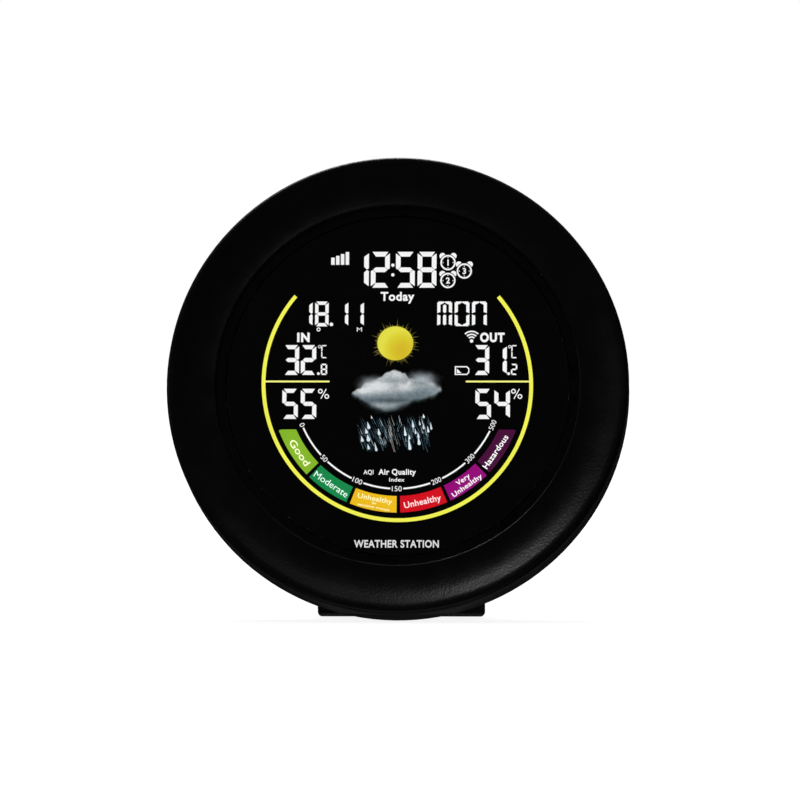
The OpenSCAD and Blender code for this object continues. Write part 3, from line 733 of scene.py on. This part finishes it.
def sun():
    """A flattened disc with a fringe of short uneven rays."""
    rng = random.Random(5)
    plate = Plate()
    rim = arc(SUN_AT, SUN_R, 0, 356.25, 95)
    plate.outline([(x, SUN_AT[1] + (y - SUN_AT[1]) * SUN_SQUASH) for x, y in rim])
    plate.piece("sun_disc", sun_material(), FIGURES_Z)
    rays = Plate()
    for i in range(SUN_RAYS):
        angle = 360 * (i + rng.uniform(-0.4, 0.4)) / SUN_RAYS
        root = SUN_R * (1 - (1 - SUN_SQUASH) * abs(math.sin(math.radians(angle)))) - 0.05
        tip = root + rng.choice(RAY_LENGTHS)
        half_width = rng.uniform(0.35, 0.7)
        rays.outline([polar(root, angle - half_width, SUN_AT), polar(root, angle + half_width, SUN_AT),
                      polar(tip, angle + rng.uniform(-5, 5), SUN_AT)])
    rays.piece("sun_rays", lit("sun_rays", (0.55, 0.47, 0.08), 1.0, 0.3), FIGURES_Z - LAYER)


# ---------------------------------------------------------------- weather picture: cloud

# Points along the cloud's top and along its base
CLOUD_TOP = [(-18.4, -4.0), (-17.4, -2.7), (-15.5, -1.3), (-12.0, 1.3), (-6.6, 3.2), (-4.6, 4.8),
             (-1.0, 5.9), (2.6, 4.7), (4.7, 2.6), (9.0, 2.4), (13.0, 1.7), (16.4, 0.2), (17.8, -1.7)]
CLOUD_BASE = [(-18.4, -4.1), (-16.6, -5.5), (-12.6, -7.4), (-9.5, -9.1), (-4.5, -10.6), (-1.0, -10.0),
              (1.9, -8.7), (7.7, -7.0), (14.2, -5.4), (16.8, -3.6), (17.8, -2.0)]
# Patches as (place, half sizes, amount): haze round the cloud, and light or shade on it
CLOUD_HAZE = [((9.4, 1.2), (8.8, 5.6), 0.72), ((-10.2, 0.0), (7.6, 5.0), 0.60),
              ((-4.0, -7.2), (10.8, 4.8), 0.42)]
CLOUD_RELIEF = [
    ((-8.0, -0.8), (6.6, 2.9), 0.25), ((3.2, -1.0), (3.2, 1.8), 0.20), ((-13.4, -2.6), (3.2, 1.5), 0.20),
    ((-1.0, 4.4), (5.0, 1.9), 0.14), ((14.6, 0.4), (3.0, 1.2), 0.10), ((4.4, 0.8), (0.9, 0.8), 0.16),
    ((-5.4, -8.4), (6.6, 1.7), 0.17), ((-2.6, 1.4), (3.6, 0.8), -0.09), ((-3.0, -6.1), (11.0, 1.0), -0.16),
    ((9.6, -2.6), (7.0, 2.4), -0.10), ((1.0, -4.0), (9.0, 1.4), -0.04), ((8.4, 0.6), (2.4, 0.7), -0.08),
]
# Brightness of the cloud before relief
CLOUD_TONE = 0.68
# The grid that the cloud is coloured on: its sides, the size of its squares, and the glow that one corner
# of a square has to reach for the square to be made
CLOUD_BOX = (-21.0, 21.0, -13.6, 8.2)
CLOUD_STEP = 0.17
CLOUD_DARKEST = 0.0002


def smooth(low, high, value):
    """Goes from 0 to 1 in a soft step as the value goes from low to high."""
    t = min(1.0, max(0.0, (value - low) / (high - low)))
    return t * t * (3 - 2 * t)


def height_along(points, x):
    """Height of a smooth line through points at x, or None beyond its ends."""
    for (x0, y0), (x1, y1) in zip(points, points[1:]):
        if x0 <= x <= x1:
            return y0 + (y1 - y0) * smooth(x0, x1, x)
    return None


def patch(x, y, centre, half_sizes):
    """A soft oval patch: 1 in its middle and almost 0 well outside it."""
    u, v = (x - centre[0]) / half_sizes[0], (y - centre[1]) / half_sizes[1]
    return math.exp(-1.4 * (u * u + v * v))


def cloud_cover(x, y, billow):
    """How much of the cloud's body covers a point. Its top is softer at the right and down the left."""
    top, base = height_along(CLOUD_TOP, x), height_along(CLOUD_BASE, x)
    if top is None or base is None:
        return 0.0
    soft_top = 0.7 + 1.5 * smooth(3.5, 9.0, x) + 0.7 * smooth(-6.0, -9.0, x) * smooth(-15.5, -13.0, x)
    above = smooth(0.0, soft_top, top + 0.4 * billow + 0.2 - y)
    below = smooth(0.0, 2.6, y - base + 0.5 * billow + 0.6)
    return above * below


def cloud_haze(x, y, billow, fine):
    """How strong the thin haze round the cloud is at a point."""
    strongest = 0.0
    for (cx, cy), (rx, ry), amount in CLOUD_HAZE:
        away = math.hypot((x - cx) / rx, (y - cy) / ry) + 0.10 * billow + 0.04 * fine
        strongest = max(strongest, amount * smooth(1.04, 0.1, away))
    return strongest


def cloud_tone(x, y, billow, fine):
    """Brightness of the cloud's body at a point: billowed, and darker towards the base."""
    tone = CLOUD_TONE + sum(amount * patch(x, y, centre, half) for centre, half, amount in CLOUD_RELIEF)
    tone -= 0.16 * smooth(-1.5, -6.0, y)
    tone += 0.055 * fine + 0.05 * billow
    return tone


def cloud_glow(x, y):
    """Colour of the cloud picture at a point. The darker parts of the body are bluer."""
    point = Vector((x, y, 0))
    billow = noise.fractal(point * 0.42, 1.0, 2.0, 4) * 0.9
    fine = noise.fractal(point * 1.5 + Vector((7, 3, 0)), 1.0, 2.0, 5)
    cover = cloud_cover(x, y, billow)
    haze = cloud_haze(x, y, billow, fine)
    tone = cloud_tone(x, y, billow, fine)
    blue = smooth(0.85, 0.45, tone)
    glow = max(0.0, min(0.9, cover * tone + (1 - cover) * haze)) ** 2.2
    return (glow * (0.96 - 0.27 * blue), glow * (1 - 0.09 * blue), glow * 1.02)


def cloud_material():
    """Shows the glow that the cloud's corners carry, broken up by fine detail."""
    s = Shader("cloud_glow", Roughness=0.6, Emission_Strength=1.0)
    s.bsdf.inputs["Base Color"].default_value = (0.004, 0.004, 0.005, 1)
    picture = s.node("ShaderNodeVertexColor")
    picture.layer_name = "glow"
    detail = s.span(s.noise(scale=900, detail=5, roughness=0.65, stretch=(1, 1, 1.6)), 0.86, 1.1)
    lift = s.node("ShaderNodeMix")
    lift.data_type = "RGBA"
    lift.blend_type = "MULTIPLY"
    lift.inputs["Factor"].default_value = 1.0
    s.link(picture.outputs["Color"], lift.inputs[6])
    s.link(detail, lift.inputs[7])
    s.to("Emission Color", lift.outputs[2])
    return s.mat


def cloud():
    """A grid of small squares with a glow at each corner, without the squares that are dark."""
    x0, x1, y0, y1 = CLOUD_BOX
    columns = round((x1 - x0) / CLOUD_STEP)
    rows = round((y1 - y0) / CLOUD_STEP)
    plate = Plate()
    bm = plate.bm
    layer = bm.loops.layers.float_color.new("glow")
    grid = [[bm.verts.new((x0 + i * CLOUD_STEP, y0 + j * CLOUD_STEP, 0)) for i in range(columns + 1)]
            for j in range(rows + 1)]
    glows = {v: cloud_glow(v.co.x, v.co.y) for row in grid for v in row}
    for lower, upper in zip(grid, grid[1:]):
        for i in range(columns):
            corners = (lower[i], lower[i + 1], upper[i + 1], upper[i])
            if max(max(glows[v]) for v in corners) < CLOUD_DARKEST:
                continue
            for loop in bm.faces.new(corners).loops:
                loop[layer] = (*glows[loop.vert], 1)
    loose = [v for v in bm.verts if not v.link_faces]
    bmesh.ops.delete(bm, geom=loose, context="VERTS")
    plate.piece("cloud", cloud_material(), FIGURES_Z)


# ---------------------------------------------------------------- weather picture: rain

# The rain's shades from back to front, how random streaks are shared out, and how wide each shade gets
RAIN_SHADES = {"faint": (0.016, 0.042, 0.062), "middle": (0.12, 0.20, 0.25), "bright": (0.80, 0.93, 1.0),
               "warm": (0.38, 0.30, 0.23)}
RAIN_MIX = ("faint",) * 5 + ("middle",) * 3 + ("bright",)
RAIN_WIDTHS = {"faint": 0.24, "middle": 0.16, "bright": 0.16}
# The left and right ends of each shower, its number of streaks, and the level where the rain stops
SHOWERS = ((-14.3, -0.6), (0.6, 13.8))
STREAKS = 125
RAIN_FOOT = -26.4
# Warm streaks: x and height of the top, length, and lean in degrees
WARM_STREAKS = [(-3.9, -13.0, 9.0, 12), (-4.3, -14.5, 12.0, 15), (-3.2, -12.6, 5.0, 8),
                (-3.3, -16.0, 10.5, 14), (-1.9, -16.5, 7.0, 17)]
# Drops: place, radius and length of the tail
DROPS = [
    ((-11.1, -16.6), 0.62, 2.4), ((-12.0, -18.4), 0.60, 1.6), ((-13.6, -21.6), 0.62, 1.9),
    ((-11.2, -21.3), 0.74, 2.1), ((-11.1, -24.6), 0.52, 1.7), ((-8.1, -25.3), 0.50, 3.2),
    ((-7.0, -19.0), 0.56, 2.2), ((3.2, -19.4), 0.52, 3.4), ((5.0, -24.7), 0.62, 4.4),
    ((8.6, -22.8), 0.62, 3.0), ((6.2, -16.1), 0.52, 2.6), ((8.3, -20.2), 0.48, 2.0),
    ((10.3, -12.5), 0.46, 1.2), ((10.3, -16.8), 0.44, 2.0), ((12.1, -18.1), 0.48, 2.2),
    ((13.3, -17.0), 0.4, 2.6), ((4.8, -20.8), 0.42, 1.6), ((7.2, -18.7), 0.4, 1.8),
    ((-10.0, -12.9), 0.28, 1.0), ((8.8, -15.4), 0.36, 1.6),
]


def rain_lean(x):
    """The lean of the rain at x, in degrees: it blows to the right, most strongly at the left."""
    return 14 + 10 * smooth(4, -12, x)


def streak_foot(x, top, length, lean):
    """Where a streak ends that starts at x, top and leans by an angle in radians."""
    return (x + length * math.sin(lean), top - length * math.cos(lean))


def streak(plate, tip, foot, half_width):
    """A streak that widens from a point at its top to its foot."""
    plate.outline([tip, (foot[0] - half_width, foot[1]), (foot[0] + half_width, foot[1] + 0.1)])


def random_streaks(shades):
    """Thin streaks with random places, leans, lengths and shades."""
    rng = random.Random(23)
    for low, high in SHOWERS:
        for _ in range(STREAKS):
            x = rng.uniform(low - 1.5, high - 1.5)
            top = rng.uniform(-11.6, -21.0)
            lean = math.radians(rain_lean(x) + rng.uniform(-4, 4))
            foot = streak_foot(x, top, rng.uniform(1.5, 6.5), lean)
            if foot[1] < RAIN_FOOT or foot[0] > high:
                continue
            name = rng.choice(RAIN_MIX)
            widest = RAIN_WIDTHS[name]
            streak(shades[name], (x, top), foot, rng.uniform(widest / 2, widest) / 2)


def drop(plate, x, y, r, tail):
    """A round drop that comes to a point up the rain's lean."""
    lean = 0.6 * rain_lean(x)
    head = arc((x, y), r, 185 + lean, 355 + lean, 12)
    slant = math.radians(lean)
    plate.outline(head + [(x - tail * math.sin(slant), y + tail * math.cos(slant))])


def rain():
    """Slanting streaks of rain under the cloud, with warm ones left of the middle, and drops."""
    shades = {name: Plate() for name in RAIN_SHADES}
    random_streaks(shades)
    for x, top, length, lean in WARM_STREAKS:
        streak(shades["warm"], (x, top), streak_foot(x, top, length, math.radians(lean)), 0.09)
    for (x, y), r, tail in DROPS:
        drop(shades["bright"], x, y, r, tail)
    for index, (name, colour) in enumerate(RAIN_SHADES.items()):
        material = lit("rain_" + name, colour, 1.0, 0.35)
        shades[name].piece("rain_" + name, material, FIGURES_Z + LAYER * (index - 1))


# ---------------------------------------------------------------- printed words

BUTTON_WORDS = {"set_button": "SET", "mode_button": "MODE", "up_button": "+", "down_button": "-",
                "alarm_button": "ALARM", "light_button": "LIGHT"}
# How far the middle of a word is above its button
WORD_RISE = 1.6
# Rows of fine print on the label: distance from its top edge, and length
LABEL_ROWS = ((2.2, 15.5), (4.4, 10.5), (6.6, 17.0), (8.8, 13.0), (11.0, 8.0))
LABEL_MARGIN = 2.4
LABEL_ROW_HEIGHT = 0.7


def window_print():
    """Plain generic lettering on the border below the display, in white print that glows with painted
    light.
    """
    plate = Plate()
    lettering(plate, "WEATHER STATION", (0.0, -61.6), cap=2.9, width=33.0, boldness=0.025)
    # The print behind the window glows with painted light in place of the room light that the window glass
    # keeps from it
    plate.piece("window_lettering", lit("print_white_painted_glow", (0.8, 0.8, 0.8), 1.0), -2.004, thickness=0.012)


def on_back(node):
    """The box of a CAD part, in mm on the back: its lowest and highest corners."""
    points = [BACK_MM.inverted() @ v.co for v in frame["nodes"][node].data.vertices]
    return [Vector([pick(p[i] for p in points) for i in range(3)]) for pick in (min, max)]


def button_words():
    """A printed word or sign over each button."""
    words = Plate()
    for node, text in BUTTON_WORDS.items():
        low, high = on_back(node)
        lettering(words, text, ((low.x + high.x) / 2, high.y + WORD_RISE), cap=1.9, boldness=0.012)
    words.piece("button_words", pad_print, 0.02, plane=BACK_MM)


def label_print():
    """Rows of fine print on the label, as plain bars."""
    rows = Plate()
    low, high = on_back("rating_label")
    left = low.x + LABEL_MARGIN
    for fall, length in LABEL_ROWS:
        rows.bar(left, high.y - fall - LABEL_ROW_HEIGHT, left + length, high.y - fall)
    rows.piece("label_print", label_ink, high.z + 0.015, thickness=0.03, plane=BACK_MM)


# ---------------------------------------------------------------- finishes of the CAD parts

bezel_plastic = moulded("bezel_plastic", (0.0008, 0.0008, 0.00085), 0.38,
                        grain=900, depth=0.00011, specular=0.25)
housing_plastic = moulded("housing_plastic", (0.0055, 0.0055, 0.0057), 0.48,
                          grain=1100, depth=0.00008, specular=0.35)
stand_plastic = moulded("stand_plastic", (0.0022, 0.0022, 0.0023), 0.45,
                        grain=1100, depth=0.00006, specular=0.3)
button_plastic = moulded("button_plastic", (0.014, 0.014, 0.0145), 0.4)
inner_plastic = moulded("inner_plastic", (0.015, 0.015, 0.015), 0.6)
white_plastic = moulded("white_plastic", (0.74, 0.74, 0.71), 0.5, variation=0.03)
pad_rubber = moulded("pad_rubber", (0.012, 0.012, 0.012), 0.8, grain=900, depth=0.00004)
chip_resin = moulded("chip_resin", (0.02, 0.02, 0.022), 0.55, grain=3000)
led_resin = moulded("led_resin", (0.8, 0.7, 0.25), 0.3, variation=0.05)
# The tape behind the window carries a faint painted glow in place of the room light that the window glass
# keeps from it
adhesive = film("adhesive", (0.0012, 0.0012, 0.0013), 0.5, specular=0.0, painted_glow=0.0015)
cell_jacket = metal("cell_jacket", (0.33, 0.36, 0.4), 0.35)
steel = metal("steel", (0.62, 0.63, 0.65), 0.3)
black_steel = metal("black_steel", (0.05, 0.05, 0.055), 0.4)
tin = metal("tin", (0.75, 0.75, 0.72), 0.22)
label_film = film("label_film", (0.42, 0.43, 0.44), 0.35)
white_film = film("white_film", (0.86, 0.88, 0.9), 0.6)
ribbon_film = film("ribbon_film", (0.5, 0.26, 0.05), 0.3)
pad_print = film("pad_print", (0.5, 0.5, 0.5), 0.6)
label_ink = film("label_ink", (0.03, 0.03, 0.032), 0.6)
# The mask and the polarizer behind the window carry a faint painted glow in place of the room light that
# the window glass keeps from them
black_print = film("black_print", (0.0012, 0.0012, 0.0013), 0.35, specular=0.0, painted_glow=0.0017)
polarizer = film("polarizer", (0.0012, 0.0012, 0.0014), 0.3, specular=0.0, painted_glow=0.0017)
window_clear = clear("window_clear", (1.0, 1.0, 1.0), 0.0, 1.49)
display_glass = clear("display_glass", (0.9, 0.95, 0.93), 0.01, 1.52)
acrylic = clear("acrylic", (0.96, 0.98, 1.0), 0.02, 1.49)
board_green = circuit("board_green")

# Which CAD parts each finish is for
FINISHES = {
    bezel_plastic: ["front_bezel"],
    housing_plastic: ["rear_housing", "battery_door"],
    stand_plastic: ["stand"],
    button_plastic: [n for n in frame["nodes"] if n.endswith("_button")],
    inner_plastic: ["buzzer", "tact_switches", "power_socket"],
    white_plastic: ["display_frame", "ribbon_connector", "climate_sensor"],
    pad_rubber: ["stand_pad"],
    chip_resin: ["controller_chips"],
    led_resin: ["backlight_leds"],
    adhesive: ["lens_tape"],
    cell_jacket: ["battery_cells"],
    steel: ["frame_screws", "board_screws", "hinge_pin"],
    black_steel: ["case_screws"],
    tin: ["wireless_module", "socket_pin", "battery_springs", "battery_plates"],
    label_film: ["rating_label"],
    white_film: ["diffuser", "reflector"],
    ribbon_film: ["lcd_ribbon"],
    black_print: ["display_mask"],
    polarizer: ["front_polarizer"],
    window_clear: ["lens"],
    display_glass: ["lcd_front_glass", "lcd_rear_glass"],
    acrylic: ["light_guide"],
    board_green: ["main_board", "backlight_strip"],
}

clock_figures()
status_figures()
date_figures()
climate_figures()
ring_figures()
scale_bands()
scale_marks()
sun()
cloud()
rain()
window_print()
button_words()
label_print()

for finish, names in FINISHES.items():
    for name in names:
        slots = frame["nodes"][name].data.materials
        for index in range(len(slots)):
            slots[index] = finish


# ---------------------------------------------------------------- stage, light and camera

# The floor's half width, and its glow: the distances that it rises between, and its strength at each
FLOOR_REACH = 12.0
GLOW_DISTANCES = (0.10, 0.7)
GLOW_STRENGTHS = (0.88, 1.02)

# Where the lights are aimed
MIDDLE = (0, 0, 0.09)

# The camera's angles, its distance from what it is aimed at, and its sensor's width in mm
CAMERA_AZIMUTH = 2.3
CAMERA_ELEVATION = 0.6
CAMERA_DISTANCE = 2.5
CAMERA_AIM = (0.0010, window.y, 0.0858)
SENSOR_WIDTH = 36
# How wide the view is at the object
VIEW_WIDTH = 0.3108


def floor_material():
    s = Shader("floor", Roughness=0.9, Specular_IOR_Level=0.0)
    s.to("Base Color", s.fade(s.noise(scale=3), (0.10, 0.10, 0.10), (0.11, 0.11, 0.11)))
    s.bsdf.inputs["Emission Color"].default_value = (1, 1, 1, 1)
    s.to("Emission Strength", s.span(s.length(s.coords), *GLOW_STRENGTHS, *GLOW_DISTANCES))
    return s.mat


def stage_floor():
    """A pale floor whose own glow fades into the white background, leaving only the contact shadow."""
    mesh = bpy.data.meshes.new("floor")
    corners = [(x * FLOOR_REACH, y * FLOOR_REACH, 0) for x, y in ((-1, -1), (1, -1), (1, 1), (-1, 1))]
    mesh.from_pydata(corners, [], [(0, 1, 2, 3)])
    mesh.materials.append(floor_material())
    made = bpy.data.objects.new("floor", mesh)
    bpy.context.scene.collection.objects.link(made)
    made.visible_glossy = False
    made.visible_transmission = False


def area_light(name, place, size, power, target=MIDDLE):
    """A square light, its side in metres and its power in watts."""
    light = bpy.data.lights.new(name, "AREA")
    light.energy = power
    light.size = size
    made = bpy.data.objects.new(name, light)
    made.location = place
    made.rotation_mode = "QUATERNION"
    made.rotation_quaternion = (Vector(target) - Vector(place)).to_track_quat("-Z", "Y")
    bpy.context.scene.collection.objects.link(made)
    return made


def studio_lights():
    """A key light from the front left, two softer ones, and one from above that edges the top rim."""
    area_light("key_light", (-0.42, -0.27, 1.05), size=0.24, power=4.1)
    area_light("top_light", (0.30, -0.10, 1.15), size=0.80, power=0.9)
    area_light("side_light", (-1.5, -0.5, 0.5), size=0.6, power=0.8)
    area_light("rim_light", (-0.10, 0.45, 1.20), size=0.5, power=16.0)
    # The light that a pale table throws up at the object's underside
    bounce = area_light("bounce_light", (0, -0.16, 0.003), size=0.30, power=0.012, target=(0, -0.16, 1.0))
    bounce.visible_camera = False


def studio_world():
    """White all round as background and soft fill, kept out of reflections and clear parts."""
    world = bpy.data.worlds.new("studio")
    bpy.context.scene.world = world
    world.use_nodes = True
    background = world.node_tree.nodes["Background"]
    background.inputs["Color"].default_value = (1, 1, 1, 1)
    background.inputs["Strength"].default_value = 1.0
    world.cycles_visibility.glossy = False
    world.cycles_visibility.transmission = False
    world.cycles_visibility.scatter = False


def photo_camera():
    """Sees the object from the photograph's viewing angle."""
    camera = bpy.data.cameras.new("camera")
    camera.sensor_width = SENSOR_WIDTH
    camera.lens = SENSOR_WIDTH * CAMERA_DISTANCE / VIEW_WIDTH
    eye = bpy.data.objects.new("camera", camera)
    azimuth, elevation = math.radians(CAMERA_AZIMUTH), math.radians(CAMERA_ELEVATION)
    outward = Vector((math.sin(azimuth) * math.cos(elevation), -math.cos(azimuth) * math.cos(elevation),
                      math.sin(elevation)))
    eye.location = Vector(CAMERA_AIM) + outward * CAMERA_DISTANCE
    eye.rotation_mode = "QUATERNION"
    eye.rotation_quaternion = outward.to_track_quat("Z", "Y")
    bpy.context.scene.collection.objects.link(eye)
    return eye


stage_floor()
studio_lights()
studio_world()
bpy.context.scene.view_settings.view_transform = "Standard"
bpy.context.scene.camera = photo_camera()
